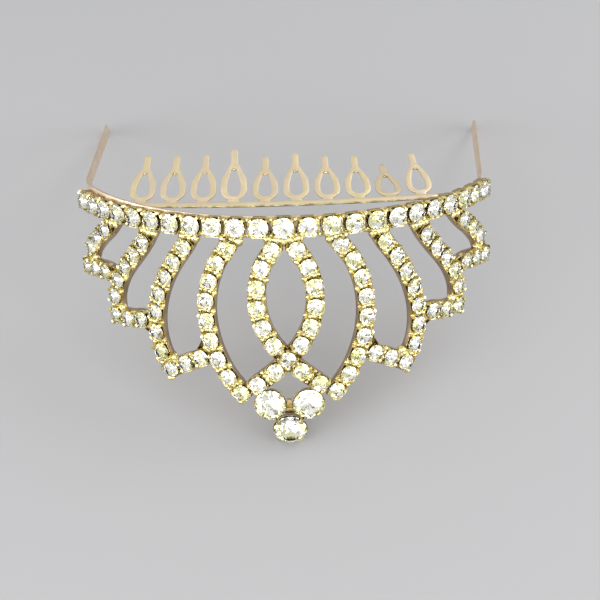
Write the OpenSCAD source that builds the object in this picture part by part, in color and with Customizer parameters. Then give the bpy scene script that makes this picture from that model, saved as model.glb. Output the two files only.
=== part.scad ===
// Small tiara with a comb: a row of stones on a bent head strip with two arms, curved strands of smaller
// stones that rise to a peak, and a stamped comb between the arms. It is drawn as worn, x across, y forwards
// and z up to the peak, then turned over to rest on the peak cup and the two arm tips.

/* [Row of stones] */
// Radius of the arc through the girdles of the row
band_r = 46; // [42:0.5:52]
// Spacing of the stones along the row
row_pitch = 4.4; // [4.3:0.05:4.6]
// Spacing between the centre stone and its neighbours
centre_pitch = 4.6; // [4.5:0.05:4.8]
// Stones on each side of the centre stone
row_side = 11; // [9:1:11]

/* [Head strip and arms] */
// Width of the strip
strip_w = 2.4; // [2:0.1:3]
// Thickness of the strip
strip_t = 0.6; // [0.5:0.05:1]
// Height of the strip's upper edge above the middle of the row
strip_top = 0.6; // [0.4:0.1:1.2]
// Angle at the centre of the row where the strip leaves the arc
arc_end = 58; // [54:1:62]
// Radius of the bend from the arc into the arm
bend_r = 20; // [14:1:26]
// Angle of the straight arms from the line across the head
arm_angle = 85.4; // [82:0.1:88]
// Turn of both arms to the right
arm_skew = 1.3; // [-2:0.1:2]
// Length of the straight arm
arm_length = 52.3; // [40:0.1:65]
// Lean of an arm's flat side at its tip, lower edge outwards
arm_lean = 15; // [0:1:30]
// Drop of the arms below the middle of the strip
arm_drop = 0.2; // [0:0.1:1]
// Rise of the right arm and drop of the left one, from a slight twist
arm_twist = 0.7; // [-1:0.1:1]

/* [Strands] */
// Spacing of the small stones along a strand
strand_pitch = 4; // [3.9:0.05:4.1]
// Width of the bars that join the cups of a strand
bar_w = 1.7; // [1.2:0.1:1.7]
// Thickness of the bars
bar_t = 0.9; // [0.6:0.1:1]

/* [Stones] */
// Girdle radius of a small stone
small_r = 1.58; // [1.5:0.02:1.6]
// Girdle radius of a stone in the row
row_r = 1.82; // [1.7:0.02:1.85]
// Girdle radius of the centre stone of the row
centre_r = 1.95; // [1.85:0.02:2]
// Girdle radius of the two large stones
large_r = 2.8; // [2.6:0.05:2.8]
// Girdle radius of the peak stone
peak_r = 3.1; // [2.8:0.05:3.2]
// Forward lean of the peak stone
peak_lean = 16; // [0:1:20]

/* [Comb] */
// Spacing of the teeth
tooth_pitch = 6.05; // [5.8:0.05:6.2]
// Length of a tooth from the comb strip's front edge
tooth_length = 12.2; // [11:0.1:14]
// Thickness of the sheet
comb_t = 0.5; // [0.4:0.05:0.7]
// Angle of the teeth, back from straight down
comb_angle = 52; // [40:1:60]
// Distance of the comb strip behind the row, at the middle
comb_back = 11.7; // [11:0.1:13]
// Shift of the comb to the left
comb_shift = 0.5; // [-1:0.1:1]

/* [Hidden] */
$fn = 48;
gold = [0.83, 0.68, 0.38];
pale_gold = [0.85, 0.76, 0.58];
crystal = [0.93, 0.95, 0.97];

// Cup and stone proportions, as shares of the stone's girdle radius unless they are in mm
table_share = 0.56;
crown_share = 0.4;
pavilion_share = 0.82;
stone_gap = 0.08;      // mm between a stone and its cup
cup_wall = 0.26;       // mm
cup_floor = 0.7;       // mm from the culet to the cup's underside
prong_half = 13;       // degrees, half the width of a prong at its foot
prong_rise = 0.62;     // mm, tip of a prong above the girdle
prong_reach = 0.25;    // mm, tip of a prong in from the edge of the seat
bar_front = 0.95;      // mm, front of the bars behind the girdles
bar_inset = 1.2;       // mm, how far a bar's end lies from the middle of its cup
bar_foot = 1.3;        // mm, height above the row where the lowest bars start, inside its cups
strip_front = 1.85;    // mm, front of the head strip behind the girdles
tip_r = 0.4;           // mm, radius of the corners of an arm's tip

// Strands of the right half on the unrolled sheet. Arc is measured along the row and height above it, both
// in mm. Heading is the angle from straight up, turn is its change at each step, and tighten makes the turn
// grow, all in degrees.
//   name       arc    height  heading  turn    tighten  count
STRANDS = [
    ["almond",  2.35,  4.3,    30.4,    -15.2,  0.14,    6],
    ["inner",   10.65, 3.7,    35.5,    -12,    0.22,    9],
    ["middle",  19.6,  4.35,   37.8,    -3.8,   -1.3,    8],
    ["outer",   29.1,  4.6,    41,      7.1,    -4.45,   6],
    ["end",     40.1,  4.1,    55.2,    -4.7,   0,       3]
];
//   name       arc    height  heading  pitch   count
LINKS = [
    ["almond",  2.48,  28.35,  52,      4.5,    2],
    ["middle",  20.62, 27.9,   -115,    3.7,    2],
    ["outer",   34.4,  21.2,   -100,    3.7,    2],
    ["end",     49.2,  13.6,   -95,     4.1,    3]
];
crossing_h = 26;       // height of the stone where the almond's two strands cross
large_at = [3.7, 35.2];
peak_h = 40.4;

// Bends of the single teeth away from the comb angle, in degrees, from left to right
TOOTH_BENDS = [-2, -2, -3, -13, 2, -3, 3, 5, 18, 6];
tooth_count = len(TOOTH_BENDS);
comb_strip_w = 1.1;
comb_arc_r = 200;
comb_drop = 1;         // mm, comb strip's front edge below the middle of the row
comb_gap = 0.12;       // mm between the comb strip's ends and the inside of the head strip
tooth_sheet = comb_t - 0.1;
finger_w = 1.3;
neck_w = 2;

// Circles that bound the loop of a tooth and its hole, each further from the comb strip than the last
//   radius  distance
LOOP = [
    [2.5,  3.9],
    [2.4,  5.3],
    [0.75, 8.9]
];
HOLE = [
    [1.3,  3.6],
    [1.28, 4.9],
    [0.6,  7.5]
];

function two_digits(i) = str(i < 10 ? "0" : "", i);
row_names = [for (i = [1:2 * row_side + 1]) str("band_stone_", two_digits(i))];
strand_nodes = [for (s = STRANDS, side = ["left", "right"]) str(s[0], "_stones_", side)];

// Places on the bent sheet

// A point of the sheet at arc s, height h and distance n in front of the girdles
function on_sheet(s, h, n = 0) = let (a = s / band_r * 180 / PI)
    [(band_r + n) * sin(a), (band_r + n) * cos(a) - band_r, h];

// Puts a cup or stone, drawn along +z, on the sheet with its own x along the heading
module on_strand(s, h, heading = 90, lean = 0) {
    translate([0, -band_r, 0])
    rotate([0, 0, -s / band_r * 180 / PI])
    translate([0, band_r, h])
    rotate([lean - 90, 0, 0])
    rotate([0, 0, heading - 90])
    children();
}

// Stones [arc, height, heading] of one strand, walked step by step. A cup faces along the mean of the steps
// before and after it.
function heading_at(row, i) = row[3] + row[4] * i + row[5] * i * i;
function strand_stones(row) = [
    for (i = 0, p = [row[1], row[2]];
        i < row[6];
        p = p + strand_pitch * [sin(heading_at(row, i)), cos(heading_at(row, i))], i = i + 1)
    [p[0], p[1], (heading_at(row, max(0, i - 1)) + heading_at(row, i)) / 2]
];
function link_stones(row) = [
    for (i = [0:row[5] - 1]) [row[1] + row[4] * i * sin(row[3]), row[2] + row[4] * i * cos(row[3]), row[3]]
];
function all_small() = concat(
    [for (row = STRANDS) each strand_stones(row)],
    [for (row = LINKS) each link_stones(row)]);
function row_arc(i) = i == 0 ? 0 : sign(i) * (centre_pitch + (abs(i) - 1) * row_pitch);

module both_sides() {
    children();
    mirror([1, 0, 0]) children();
}

// Cut stone with a table, a crown and a pavilion that ends in a point. Its points are the girdle, the table
// and the tip.
function stone_points(r, sides) = let (
        angles = [for (i = [0:sides - 1]) 180 / sides * (2 * i + 1)])
    concat([for (a = angles) [r * cos(a), r * sin(a), 0]],
        [for (a = angles) [r * table_share * cos(a), r * table_share * sin(a), r * crown_share]],
        [[0, 0, -r * pavilion_share]]);

module stone(r, sides = 8) {
    next = function (i) (i + 1) % sides;
    polyhedron(stone_points(r, sides), concat(
        [for (i = [0:sides - 1]) [i, sides + i, sides + next(i), next(i)]],
        [for (i = [0:sides - 1]) [2 * sides, i, next(i)]],
        [[for (i = [sides - 1:-1:0]) sides + i]]));
}

// Points of a cup: its underside, its rim outside and inside, the bottom of the seat and the prong tips.
// Mid is the number of points between two prongs, so 0 gives a square cup with cut corners.
function cup_points(r, sides, mid) = let (
        step = (90 - 2 * prong_half) / (mid + 1),
        angles = [for (k = [0:3]) each concat([45 + 90 * k - prong_half],
            [for (j = [0:mid]) 45 + 90 * k + prong_half + j * step])],
        flat = r * cos(180 / sides) + stone_gap,
        inner = flat / cos(step / 2),
        outer = (flat + cup_wall) / cos(step / 2),
        tip = flat - prong_reach,
        ring = function (radius, z) [for (a = angles) [radius * cos(a), radius * sin(a), z]])
    concat(ring(outer * 0.94, -r * pavilion_share - cup_floor), ring(outer, 0), ring(inner, 0),
        [[0, 0, -r * pavilion_share - 0.25]],
        [for (k = [0:3]) [tip * cos(45 + 90 * k), tip * sin(45 + 90 * k), prong_rise]]);

module cup(r, sides = 8, mid = 0) {
    n = 4 * (2 + mid);
    next = function (i) (i + 1) % n;
    is_prong = function (i) i % (2 + mid) == 0;
    polyhedron(cup_points(r, sides, mid), concat(
        [[for (i = [0:n - 1]) i]],
        [for (i = [0:n - 1]) [i, n + i, n + next(i), next(i)]],
        [for (i = [0:n - 1]) [3 * n, 2 * n + next(i), 2 * n + i]],
        [for (i = [0:n - 1]) if (!is_prong(i)) [n + i, 2 * n + i, 2 * n + next(i), n + next(i)]],
        [for (i = [0:n - 1]) if (is_prong(i)) let (
            tip = 3 * n + 1 + i / (2 + mid), a = n + i, b = n + next(i), c = 2 * n + i, d = 2 * n + next(i))
            each [[a, tip, b], [b, tip, d], [d, tip, c], [c, tip, a]]]));
}

// Solid swept through rings of equal length, each ring a list of points
module sweep(rings) {
    m = len(rings[0]);
    n = len(rings);
    at = function (j, k) j * m + k % m;
    polyhedron([for (r = rings) each r], concat(
        [[for (k = [m - 1:-1:0]) k]],
        [[for (k = [0:m - 1]) at(n - 1, k)]],
        [for (j = [0:n - 2], k = [0:m - 1]) each [
            [at(j, k), at(j + 1, k + 1), at(j + 1, k)],
            [at(j, k), at(j, k + 1), at(j + 1, k + 1)]]]));
}

// Bar between two places of the sheet, with its ends inside the metal of the cups there
function bar_ring(p, side) = [
    on_sheet(p[0] - side[0], p[1] - side[1], -bar_front),
    on_sheet(p[0] + side[0], p[1] + side[1], -bar_front),
    on_sheet(p[0] + side[0], p[1] + side[1], -bar_front - bar_t),
    on_sheet(p[0] - side[0], p[1] - side[1], -bar_front - bar_t)];
module bar(from, to, from_inset = bar_inset, to_inset = bar_inset) {
    along = [to[0] - from[0], to[1] - from[1]] / norm([to[0] - from[0], to[1] - from[1]]);
    side = [along[1], -along[0]] * bar_w / 2;
    sweep([
        bar_ring([from[0], from[1]] + along * from_inset, side),
        bar_ring([to[0], to[1]] - along * to_inset, side)]);
}

// Bars along one row of stones
module bars(stones) {
    for (i = [1:len(stones) - 1]) bar(stones[i - 1], stones[i]);
}

// Bars of the right half: along the strands and links, from the row to the first cups, and from the links to
// the strands beside them
module all_bars() {
    strands = [for (row = STRANDS) strand_stones(row)];
    links = [for (row = LINKS) link_stones(row)];
    for (stones = strands) {
        bars(stones);
        foot_arc = stones[0][0] - (stones[0][1] - bar_foot) * tan(stones[0][2]) * 0.75;
        bar([foot_arc, bar_foot], stones[0], 0);
    }
    for (stones = links) bars(stones);
    bar(strands[0][5], [0, crossing_h]);
    bar([0, crossing_h], links[0][0]);
    for (i = [1:3]) bar(strands[i + 1][STRANDS[i + 1][6] - 1], links[i][0]);
    bar(links[1][1], strands[1][5]);
    bar(links[2][1], strands[2][5]);
    bar(links[3][2], strands[3][3]);
}

// Head strip: an arc behind the row, a tighter bend and a straight arm. Side is 1 on the right and -1 on the
// left, and l is the length along the strip from its middle.
strip_r = band_r - strip_front - strip_t / 2;
arc_length = strip_r * arc_end * PI / 180;
function arm_turn(side) = arm_angle - side * arm_skew;
function arm_from(side) = arc_length + bend_r * (arm_turn(side) - arc_end) * PI / 180;

function strip_heading(l, side) = l < arc_length ? l / strip_r * 180 / PI
    : min(arm_turn(side), arc_end + (l - arc_length) / bend_r * 180 / PI);
function bend_point(a) = [
    strip_r * sin(arc_end) + bend_r * (sin(a) - sin(arc_end)),
    strip_r * cos(arc_end) - band_r + bend_r * (cos(a) - cos(arc_end))];
function strip_point(l, side) = let (a = strip_heading(l, side))
    l < arc_length ? [strip_r * sin(a), strip_r * cos(a) - band_r]
    : bend_point(a) + max(0, l - arm_from(side)) * [cos(a), -sin(a)];

// Lengths where the strip has a ring, with rounded corners at the end
function half_lengths(side) = let (bend = arm_from(side) - arc_length, end = arm_from(side) + arm_length)
    concat([for (i = [0:9]) arc_length * i / 10],
    [for (i = [0:4]) arc_length + bend * i / 4],
    [for (i = [1:5]) arm_from(side) + (arm_length - tip_r) * i / 6],
    [for (a = [0:22.5:90]) end - tip_r + tip_r * sin(a)]);

// The strip sinks along the arc, and an arm leans more towards its tip
function strip_ring(l, side) = let (
        a = strip_heading(l, side), p = strip_point(l, side), end = arm_from(side) + arm_length,
        along = max(0, (l - arc_length) / (end - arc_length)),
        lean = arm_lean * (1.6 - 0.6 * along) * along,
        sunk = min(1, pow(l / arc_length, 2)),
        past = min(1, max(0, l - end + tip_r) / tip_r),
        share = 1 - (1 - sqrt(1 - past * past)) * tip_r / (strip_w / 2),
        out = [side * sin(a), cos(a), 0], up = [0, 0, 1],
        w = (up * cos(lean) - out * sin(lean)) * strip_w / 2 * share,
        t = (out * cos(lean) + up * sin(lean)) * strip_t / 2,
        c = [side * p[0], p[1], strip_top - strip_w / 2 + (side * arm_twist - arm_drop) * sunk])
    [c - w + t, c + w + t, c + w - t, c - w - t];

module head_strip() {
    right = half_lengths(1);
    sweep(concat(
        [for (i = [len(right) - 1:-1:1]) strip_ring(right[i], 1)],
        [for (l = half_lengths(-1)) strip_ring(l, -1)]));
}

// Solder between two places of the sheet, behind the tips of the small stones
module solder(from, to, r = 0.7) {
    hull() for (p = [from, to])
        on_strand(p[0], p[1]) translate([0, 0, -2]) cylinder(0.65, r, r * 0.9, $fn = 4);
}

module solder_joints() {
    inner_end = strand_stones(STRANDS[1])[8];
    outer_end = strand_stones(STRANDS[3])[5];
    link_end = link_stones(LINKS[0])[1];
    both_sides() {
        solder(link_end - [-1, -0.2, 0], inner_end + [-1, -0.8, 0]);
        solder(large_at + [-1, 2], [1.2, peak_h - 2.3], 0.8);
        solder(large_at + [1.6, -1.6], link_end + [-0.2, 1.1, 0]);
        solder(outer_end + [-0.6, -1.2, 0], outer_end + [-1.9, -0.8, 0], 0.8);
        solder([45.6, 10.6], [46.6, 11.6], 1);
    }
    solder([-1.3, large_at[1]], [1.3, large_at[1]], 1);
}

module frame() {
    color(gold) union() {
        head_strip();
        both_sides() all_bars();
        for (i = [-row_side:row_side])
            on_strand(row_arc(i), 0) cup(i == 0 ? centre_r : row_r);
        both_sides() for (p = all_small()) on_strand(p[0], p[1], p[2]) cup(small_r);
        on_strand(0, crossing_h, 45) cup(small_r);
        both_sides() on_strand(large_at[0], large_at[1]) cup(large_r, 16, 2);
        on_strand(0, peak_h, 90, peak_lean) cup(peak_r, 16, 2);
        solder_joints();
    }
}

// Comb

// Outline around a row of circles and their common tangents
function outline(circles) = let (
        n = len(circles),
        turns = concat([-90], [for (i = [0:n - 2])
            asin((circles[i][0] - circles[i + 1][0]) / (circles[i + 1][1] - circles[i][1]))], [90]),
        right = [for (i = [0:n - 1]) let (
            c = circles[i], steps = max(1, ceil((turns[i + 1] - turns[i]) / 15)))
            for (k = [0:steps]) let (a = turns[i] + (turns[i + 1] - turns[i]) * k / steps)
            if (abs(a) < 90) [c[0] * cos(a), c[1] + c[0] * sin(a)]])
    concat([[0, circles[0][1] - circles[0][0]]], right, [[0, circles[n - 1][1] + circles[n - 1][0]]],
        [for (i = [len(right) - 1:-1:0]) [-right[i].x, right[i].y]]);

module tooth() {
    linear_extrude(tooth_sheet, center = true) difference() {
        union() {
            polygon(outline(LOOP));
            polygon(outline([[finger_w / 2, 8], [finger_w / 2, tooth_length - finger_w / 2]]));
            translate([-neck_w / 2, comb_strip_w / 2]) square([neck_w, 1.6]);
        }
        polygon(outline(HOLE));
    }
}

// Turns what is drawn with +y along the teeth so that it points down and back, at arc s of the comb
module on_comb(s) {
    translate([-comb_shift, -comb_back - comb_arc_r, -comb_drop])
    rotate([0, 0, -s / comb_arc_r * 180 / PI])
    translate([0, comb_arc_r, 0])
    rotate([270 - comb_angle, 0, 0])
    children();
}

// Corners of the comb strip's cross-section, each as its distance from the arc's centre and its height
comb_corners = [for (c = [[0, 1], [1, 1], [1, -1], [0, -1]])
    let (y = c[0] * comb_strip_w, z = c[1] * comb_t / 2)
    [comb_arc_r - y * sin(comb_angle) + z * cos(comb_angle),
    -comb_drop - y * cos(comb_angle) - z * sin(comb_angle)]];
function comb_point(corner, a) =
    [corner[0] * sin(a) - comb_shift, corner[0] * cos(a) - comb_back - comb_arc_r, corner[1]];

// Angle where a corner of the comb strip reaches the inside of the head strip
function comb_end(corner, side) = let (
        inside = band_r - strip_front - strip_t - comb_gap,
        v = [-comb_shift, band_r - comb_back - comb_arc_r],
        k = (inside * inside - v * v - corner[0] * corner[0]) / (2 * corner[0]))
    atan2(v.x, v.y) + (side > 0 ? 360 - acos(k / norm(v)) : acos(k / norm(v)));

function tooth_arc(i) = (i - (tooth_count - 1) / 2) * tooth_pitch;
module comb() {
    half = tooth_count / 2 - 1;
    color(pale_gold) union() {
        for (i = [0:tooth_count - 1])
            on_comb(tooth_arc(i))
            translate([0, comb_strip_w * 0.75, 0]) rotate([-TOOTH_BENDS[i], 0, 0])
            translate([0, -comb_strip_w * 0.75, 0]) tooth();
        sweep(concat(
            [[for (c = comb_corners) comb_point(c, comb_end(c, -1))]],
            [for (i = [-half:half]) let (a = i * tooth_pitch / comb_arc_r * 180 / PI)
                [for (c = comb_corners) comb_point(c, a)]],
            [[for (c = comb_corners) comb_point(c, comb_end(c, 1))]]));
    }
}

// Rest pose: the part lies on its front, tilted and rolled so that the peak cup and both arm tips are equally
// low, with the middle of its box at x = 0 and y = 0
function leant(points) = [for (p = points) let (a = peak_lean - 90)
    [p.x, p.y * cos(a) - p.z * sin(a), p.y * sin(a) + p.z * cos(a) + peak_h]];
peak_points = leant(concat(cup_points(peak_r, 16, 2), stone_points(peak_r, 16)));
arm_points = [for (side = [-1, 1], l = half_lengths(side)) if (l > arm_from(side)) each strip_ring(l, side)];
function posed(p, tilt, roll) = let (z = p.y * sin(tilt) - p.z * cos(tilt))
    [p.x * cos(roll) + z * sin(roll), -p.y * cos(tilt) - p.z * sin(tilt), z * cos(roll) - p.x * sin(roll)];
function tip_at(side, tilt) = let (r = strip_ring(arm_from(side) + arm_length - tip_r, side))
    posed((r[0] + r[2]) / 2, tilt, 0);
function roll_at(tilt) = let (d = tip_at(1, tilt) - tip_at(-1, tilt)) atan(d.z / d.x);
function lowest(points, tilt) = min([for (p = points) posed(p, tilt, roll_at(tilt)).z]);
function balance(lo, hi, steps) = let (mid = (lo + hi) / 2)
    steps == 0 ? mid
    : lowest(peak_points, mid) < lowest(arm_points, mid) ? balance(mid, hi, steps - 1)
    : balance(lo, mid, steps - 1);
rest_tilt = balance(10, 50, 30);
rest_roll = roll_at(rest_tilt);
function reach(points, axis) = [for (p = points) posed(p, rest_tilt, rest_roll)[axis]];
rest_shift = [-(min(reach(arm_points, 0)) + max(reach(arm_points, 0))) / 2,
    -(min(reach(peak_points, 1)) + max(reach(arm_points, 1))) / 2, -lowest(peak_points, rest_tilt)];

module rest_pose() {
    translate(rest_shift) rotate([0, rest_roll, 0]) rotate([180 - rest_tilt, 0, 0]) children();
}

module strand_field(index) {
    for (p = strand_stones(STRANDS[index])) on_strand(p[0], p[1], p[2]) stone(small_r);
    if (index > 1)
        for (p = link_stones(LINKS[index - 1])) on_strand(p[0], p[1], p[2]) stone(small_r);
}

module crossing_field() {
    on_strand(0, crossing_h, 45) stone(small_r);
    both_sides() for (p = link_stones(LINKS[0])) on_strand(p[0], p[1], p[2]) stone(small_r);
}

rest_pose() frame();
rest_pose() comb();
for (i = [0:len(row_names) - 1])
    color(crystal) rest_pose()
        on_strand(row_arc(i - row_side), 0) stone(i == row_side ? centre_r : row_r);
color(crystal) rest_pose() on_strand(-large_at[0], large_at[1]) stone(large_r, 16);  // large_stone_left
color(crystal) rest_pose() on_strand(large_at[0], large_at[1]) stone(large_r, 16);  // large_stone_right
color(crystal) rest_pose() on_strand(0, peak_h, 90, peak_lean) stone(peak_r, 16);  // peak_stone
color(crystal) rest_pose() crossing_field();  // crossing_stones
for (i = [0:len(STRANDS) - 1]) {
    color(crystal) rest_pose() mirror([1, 0, 0]) strand_field(i);
    color(crystal) rest_pose() strand_field(i);
}
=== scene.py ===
from math import acos, asin, atan2, ceil, cos, pi, radians, sin, sqrt, tan

import bmesh
import bpy
from mathutils import Matrix, Vector


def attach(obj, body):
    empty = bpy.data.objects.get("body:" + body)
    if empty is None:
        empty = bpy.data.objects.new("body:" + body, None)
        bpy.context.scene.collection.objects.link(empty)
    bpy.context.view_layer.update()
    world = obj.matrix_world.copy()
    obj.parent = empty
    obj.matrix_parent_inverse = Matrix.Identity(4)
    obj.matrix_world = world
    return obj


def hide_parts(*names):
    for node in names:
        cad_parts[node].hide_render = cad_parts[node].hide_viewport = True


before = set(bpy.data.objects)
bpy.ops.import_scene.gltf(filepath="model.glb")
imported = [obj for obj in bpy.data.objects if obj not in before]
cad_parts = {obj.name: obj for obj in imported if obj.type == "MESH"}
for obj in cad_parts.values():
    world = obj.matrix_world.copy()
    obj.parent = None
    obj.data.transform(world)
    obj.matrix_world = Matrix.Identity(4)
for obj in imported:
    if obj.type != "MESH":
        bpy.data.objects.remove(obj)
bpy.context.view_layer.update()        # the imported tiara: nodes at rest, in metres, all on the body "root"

bl_info = {
    "name": "Tiara with a comb",
    "version": (1, 0, 0),
    "blender": (4, 5, 0),
    "location": "View3D > Sidebar > Tiara",
    "description": "Dresses the tiara's frame with cups, cut stones, ribbons, solder and a stamped comb",
    "category": "Add Mesh",
}

MM = 0.001
BODY = "root"


# Sizes and colours a user may change

def size(label, about, default, low=0.0, high=100.0):
    """A length property, given in millimetres and kept in metres."""
    return bpy.props.FloatProperty(
        name=label, description=about, default=default * MM, min=low * MM, max=high * MM,
        unit="LENGTH", precision=5)


def angle(label, about, default):
    """An angle property, given in degrees and kept in radians."""
    return bpy.props.FloatProperty(
        name=label, description=about, default=radians(default), subtype="ANGLE")


def tint(label, about, default):
    """A linear colour property."""
    return bpy.props.FloatVectorProperty(
        name=label, description=about, default=default, subtype="COLOR", min=0, max=1, size=3)


def number(label, about, default):
    """A plain number."""
    return bpy.props.FloatProperty(name=label, description=about, default=default)


class TiaraBand(bpy.types.PropertyGroup):
    row_radius: size("Row radius", "Radius of the arc through the girdles of the row", 46, high=200)
    row_pitch: size("Row pitch", "Spacing of the stones along the row", 4.4)
    centre_pitch: size("Centre pitch", "Spacing between the centre stone and its neighbours", 4.6)
    row_side: bpy.props.IntProperty(
        name="Stones a side", description="Stones of the row on each side of the centre one", default=11)
    strip_width: size("Strip width", "Width of the head strip", 2.4)
    strip_sheet: size("Strip thickness", "Thickness of the head strip", 0.6)
    strip_top: size("Strip top", "Height of the strip's upper edge above the row's middle", 0.6)
    strip_front: size("Strip depth", "Depth of the strip's front behind the girdles", 1.85)
    arc_end: angle("Arc end", "Angle at the row's centre where the strip leaves the arc", 58)
    bend_radius: size("Bend radius", "Radius of the bend from the arc into an arm", 20)
    arm_angle: angle("Arm angle", "Angle of the straight arms from the line across the head", 85.4)
    arm_skew: angle("Arm skew", "Turn of both arms to the right", 1.3)
    arm_length: size("Arm length", "Length of the straight arm", 52.3)
    tip_radius: size("Tip radius", "Radius of the corners of an arm's tip", 0.4)
    arm_lean: angle("Arm lean", "Lean of an arm's flat side at its tip, lower edge outwards", 15)
    arm_drop: size("Arm drop", "Drop of the arms below the middle of the strip", 0.2)
    arm_twist: size("Arm twist", "Rise of the right arm and drop of the left one", 0.7)


class TiaraStones(bpy.types.PropertyGroup):
    strand_pitch: size("Strand pitch", "Spacing of the small stones along a strand", 4)
    small_radius: size("Small stone", "Girdle radius of a small stone", 1.58)
    row_stone_radius: size("Row stone", "Girdle radius of a stone in the row", 1.82)
    centre_radius: size("Centre stone", "Girdle radius of the centre stone of the row", 1.95)
    large_radius: size("Large stone", "Girdle radius of the two large stones", 2.8)
    peak_radius: size("Peak stone", "Girdle radius of the peak stone", 3.1)
    peak_lean: angle("Peak lean", "Forward lean of the peak stone", 16)
    fill: number("Fill", "Radius of a cut stone as a share of the plain stone's", 1.03)
    large_fill: number("Large fill", "The same share for the two large stones", 1.07)
    cup_wall: size("Cup wall", "Thickness of a cup's wall at its rim", 0.14)
    crossing_height: size("Crossing height", "Height of the stone where the almond's strands cross", 26)
    large_arc: size("Large stone arc", "Distance of a large stone from the middle", 3.7)
    large_height: size("Large stone height", "Height of the two large stones", 35.2)
    peak_height: size("Peak height", "Height of the peak stone", 40.4)
    table_share: number("Table", "Table radius as a share of the girdle's", 0.56)
    crown_share: number("Crown", "Crown height as a share of the girdle radius", 0.4)
    pavilion_share: number("Pavilion", "Pavilion depth as a share of the girdle radius", 0.82)


class TiaraComb(bpy.types.PropertyGroup):
    tooth_pitch: size("Tooth pitch", "Spacing of the teeth", 6.05)
    tooth_length: size("Tooth length", "Length of a tooth from the comb strip's front edge", 12.2)
    sheet: size("Sheet", "Thickness of the comb's sheet", 0.5)
    comb_angle: angle("Comb angle", "Angle of the teeth, back from straight down", 52)
    comb_back: size("Comb back", "Distance of the comb strip behind the row, at the middle", 11.7)
    comb_shift: size("Comb shift", "Shift of the comb to the left", 0.5)
    comb_drop: size("Comb drop", "Height of the comb strip's front edge below the row's middle", 1)
    comb_radius: size("Comb radius", "Radius of the comb strip's arc", 200, high=400)
    strip_width: size("Comb strip", "Width of the strip that carries the teeth", 1.1)
    end_gap: size("End gap", "Gap between the comb strip's ends and the head strip", 0.12)


class TiaraFinish(bpy.types.PropertyGroup):
    gold: tint("Gold", "Yellow gold plating of the cups", (0.90, 0.78, 0.38))
    # Deep gold is random olive patches on the cups and solder, and the main colour of the hollow finish:
    # painted shade in the slits, channels and recesses
    olive_patch_and_shade_gold: tint("Deep gold", "Olive gold in the hollows between the cups", (0.42, 0.31, 0.10))
    # Ribbon gold is painted shade: the channels' sides get a darker copy of the cups' gold
    ribbon_shade_gold: tint("Ribbon gold", "Tan gold on the sides of the channels", (0.50, 0.39, 0.27))
    # Brown gold is random brown patches, which also deepen the painted shade of the hollows and of the
    # channels' sides
    brown_patch_and_shade_gold: tint("Brown gold", "Brown patches on the sides of the channels", (0.34, 0.24, 0.15))
    pale_gold: tint("Pale gold", "Champagne plating of the strip and its arms", (0.80, 0.66, 0.48))
    rose_gold: tint("Rose gold", "Pinkish patches in the champagne plating", (0.75, 0.57, 0.43))
    comb_gold: tint("Comb gold", "Pale yellow plating of the comb", (0.83, 0.69, 0.42))
    solder: tint("Solder", "Bright yellow solder", (0.93, 0.83, 0.38))
    glass: tint("Glass", "Tint of the stones", (1.0, 1.0, 1.0))
    foil: tint("Foil", "Mirror foil on the backs of the stones", (0.95, 0.95, 0.92))
    foil_patch: tint("Foil patches", "Yellow-green patches in the foil", (0.86, 0.86, 0.50))
    floor: tint("Floor", "Plain pale floor", (0.45, 0.45, 0.46))


class TiaraStudio(bpy.types.PropertyGroup):
    camera_place: bpy.props.FloatVectorProperty(
        name="Camera place", description="Where the camera stands", subtype="TRANSLATION", size=3,
        default=(0.882 * MM, -197.232 * MM, 205.378 * MM))
    camera_turn: bpy.props.FloatVectorProperty(
        name="Camera turn", description="How the camera is turned", subtype="EULER", size=3,
        default=(radians(42.457), radians(0.849), radians(-1.064)))
    lens: number("Lens", "Focal length in millimetres", 78)
    light: number("Lights", "Strength of the soft boxes against their own power", 1.0)
    sky: number("Surround", "Strength of the pale surround", 0.78)


SETTINGS = {
    "tiara_band": TiaraBand,
    "tiara_stones": TiaraStones,
    "tiara_comb": TiaraComb,
    "tiara_finish": TiaraFinish,
    "tiara_studio": TiaraStudio,
}


def settings():
    """The scene's five groups of settings, in the order band, stones, comb, finish, studio."""
    return [getattr(bpy.context.scene, name) for name in SETTINGS]


# Strands of the right half on the unrolled sheet. Arc is measured along the row and height above it, both in
# millimetres. Heading is the angle from straight up, turn is its change at each step, and tighten makes the
# turn grow, all in degrees.
STRAND_COLUMNS = ("name", "arc", "height", "heading", "turn", "tighten", "count")
STRANDS = (
    ("almond", 2.35, 4.3, 30.4, -15.2, 0.14, 6),
    ("inner", 10.65, 3.7, 35.5, -12, 0.22, 9),
    ("middle", 19.6, 4.35, 37.8, -3.8, -1.3, 8),
    ("outer", 29.1, 4.6, 41, 7.1, -4.45, 6),
    ("end", 40.1, 4.1, 55.2, -4.7, 0, 3),
)
# Links run straight from a strand's top back to the strand before it
LINK_COLUMNS = ("name", "arc", "height", "heading", "pitch", "count")
LINKS = (
    ("almond", 2.48, 28.35, 52, 4.5, 2),
    ("middle", 20.62, 27.9, -115, 3.7, 2),
    ("outer", 34.4, 21.2, -100, 3.7, 2),
    ("end", 49.2, 13.6, -95, 4.1, 3),
)
# Where each link but the almond's ends: the strand that it meets and the stone there, both counted from 0
LINK_ENDS = ((1, 5), (2, 5), (3, 3))
# Bends of the single teeth away from the comb angle, in degrees, from left to right
TOOTH_BENDS = (-2, -2, -3, -13, 2, -3, 3, 5, 18, 6)
SIDES = (-1, 1)
SIDE_NAMES = {-1: "left", 1: "right"}


# Places on the bent sheet, in the worn frame: x across, y forwards, z up to the peak

def on_sheet(arc, height, front):
    """Point of the sheet at an arc and a height, a distance in front of the girdles."""
    radius = bpy.context.scene.tiara_band.row_radius
    a = arc / radius
    return Vector(((radius + front) * sin(a), (radius + front) * cos(a) - radius, height))


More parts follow.
